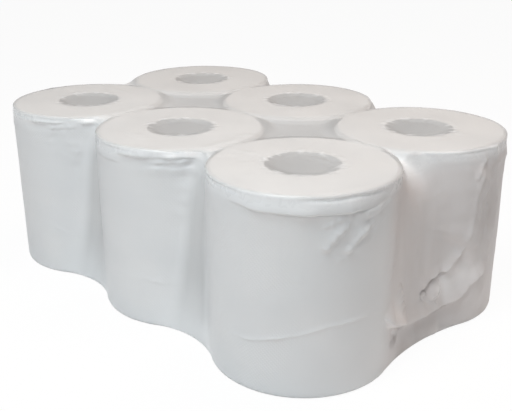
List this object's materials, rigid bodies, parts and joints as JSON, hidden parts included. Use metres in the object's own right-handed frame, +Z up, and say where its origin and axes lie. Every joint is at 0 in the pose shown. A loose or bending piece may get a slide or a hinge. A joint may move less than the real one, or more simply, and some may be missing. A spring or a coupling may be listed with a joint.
{
  "type": "pack of centrefeed paper rolls",
  "caption": "Shrink-wrapped pack of wide centrefeed paper rolls standing on end side by side, with hollow bores under the clear film and a gathered film mouth at each short end.",
  "frame": {"origin": "middle of the pack on the surface it stands on", "axes": "+X along the three rolls of a row, +Y across the two rows towards the row at the back, +Z up along the rolls' bores"},
  "size_m": [0.5504, 0.3627, 0.1946],
  "materials": {
    "film": "clear shrink film, slightly hazy, glossy",
    "paper": "white tissue, matte, faintly embossed"
  },
  "bodies": {
    "root": {"shrink_film": "film", "roll_front_left": "paper", "roll_front_middle": "paper", "roll_front_right": "paper", "roll_back_left": "paper", "roll_back_middle": "paper", "roll_back_right": "paper"}
  },
  "joints": []
}
